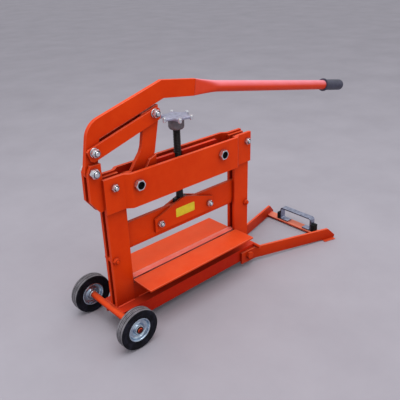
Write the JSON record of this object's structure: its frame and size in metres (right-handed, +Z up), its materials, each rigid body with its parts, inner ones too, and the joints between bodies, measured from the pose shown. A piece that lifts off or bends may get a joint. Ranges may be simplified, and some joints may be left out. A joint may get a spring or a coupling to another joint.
{
  "type": "masonry block splitter",
  "caption": "Wheeled hand guillotine for splitting paving blocks: lever linkage presses a screw-set blade down between columns onto a lower blade set in a split table.",
  "frame": {"origin": "on the floor under the middle of the machine's length, in its centre plane", "axes": "+X along the machine from the wheels to the lever's grip, +Y to the back, +Z up"},
  "size_m": [1.1772, 0.34, 0.7069],
  "materials": {
    "paint": "worn gloss",
    "zinc": "zinc plated",
    "dark_steel": "oiled black",
    "tyre": "dusty matt",
    "pad": "matt",
    "grip": "satin"
  },
  "bodies": {
    "frame": {"base_channel": "paint", "axle": "paint", "axle_clips": "dark_steel", "column_left_front": "paint", "column_left_rear": "paint", "column_right_front": "paint", "column_right_rear": "paint", "column_spacers": "paint", "column_bolts": "paint", "beam_front": "paint", "beam_rear": "paint", "beam_bolts": "zinc", "ear_front": "paint", "ear_rear": "paint", "lever_bolt": "zinc", "pivot_pins": "zinc", "pivot_nuts": "zinc", "pivot_spacers": "paint", "lower_carrier": "paint", "lower_blade": "paint", "table_front_plate": "paint", "table_rear_plate": "paint", "table_gussets": "paint", "stop_rod": "paint", "fork_bolts": "paint"},
    "wheel_front": {"tyre_front": "tyre", "rim_front": "zinc", "hub_front": "zinc"},
    "wheel_rear": {"tyre_rear": "tyre", "rim_rear": "zinc", "hub_rear": "zinc"},
    "lever": {"lever_plate": "paint", "handle_tube": "paint", "grip": "grip"},
    "link": {"link_front": "paint", "link_rear": "paint", "link_bolts": "zinc", "link_washers": "zinc"},
    "crank": {"crank_plate": "paint", "crank_cheek_front": "paint", "crank_cheek_rear": "paint", "crank_pin": "zinc"},
    "bar": {"pressure_bar": "paint"},
    "nut": {"barrel_nut": "dark_steel"},
    "blade": {"blade_plate": "paint", "upper_blade": "paint", "cheek_front": "paint", "cheek_rear": "paint", "cheek_bolts": "zinc", "thrust_block": "dark_steel", "thrust_pins": "dark_steel"},
    "screw": {"spindle": "dark_steel", "handwheel_hub": "zinc", "handwheel_star": "zinc"},
    "fork": {"fork_arm_front": "paint", "fork_arm_rear": "paint", "fork_cross_bar": "paint", "fork_feet": "paint", "bow_handle": "zinc", "handle_pads": "pad"}
  },
  "joints": [
    {"name": "lever_swing", "type": "hinge", "parent": "frame", "child": "lever", "pos_m": [-0.5441, 0, 0.5105], "axis": [0, -1, 0], "range_deg": [0, 44]},
    {"name": "link_turn", "type": "hinge", "parent": "lever", "child": "link", "pos_m": [-0.5341, 0, 0.564], "axis": [0, -1, 0], "range_deg": [-38, 0]},
    {"name": "crank_turn", "type": "hinge", "parent": "frame", "child": "crank", "pos_m": [-0.4241, 0, 0.449], "axis": [0, -1, 0], "range_deg": [0, 16]},
    {"name": "bar_rock", "type": "hinge", "parent": "frame", "child": "bar", "pos_m": [-0.1011, 0, 0.449], "axis": [0, -1, 0], "range_deg": [-5, 0]},
    {"name": "nut_level", "type": "hinge", "parent": "bar", "child": "nut", "pos_m": [-0.2471, 0, 0.44], "axis": [0, -1, 0], "range_deg": [0, 5]},
    {"name": "blade_height", "type": "slide", "parent": "nut", "child": "blade", "axis": [0, 0, 1], "range_m": [-0.058, 0.035]},
    {"name": "spindle_turn", "type": "hinge", "parent": "blade", "child": "screw", "pos_m": [-0.2471, 0, 0.5], "axis": [0, 0, 1], "range_deg": [-4140, 2484]},
    {"name": "wheel_front_spin", "type": "hinge", "parent": "frame", "child": "wheel_front", "pos_m": [-0.5261, -0.121, 0.0625], "axis": [0, 1, 0], "continuous": true},
    {"name": "wheel_rear_spin", "type": "hinge", "parent": "frame", "child": "wheel_rear", "pos_m": [-0.5261, 0.121, 0.0625], "axis": [0, 1, 0], "continuous": true},
    {"name": "fork_fold", "type": "hinge", "parent": "frame", "child": "fork", "pos_m": [0.0109, 0, 0.0445], "axis": [0, 1, 0], "range_deg": [0, 80]}
  ],
  "couplings": [
    {"joint": "link_turn", "follows": "lever_swing", "ratio": -0.84},
    {"joint": "crank_turn", "follows": "lever_swing", "ratio": 0.349},
    {"joint": "bar_rock", "follows": "lever_swing", "ratio": -0.096},
    {"joint": "nut_level", "follows": "lever_swing", "ratio": 0.096},
    {"joint": "blade_height", "follows": "spindle_turn", "m_per_rad": 0.00079577}
  ]
}
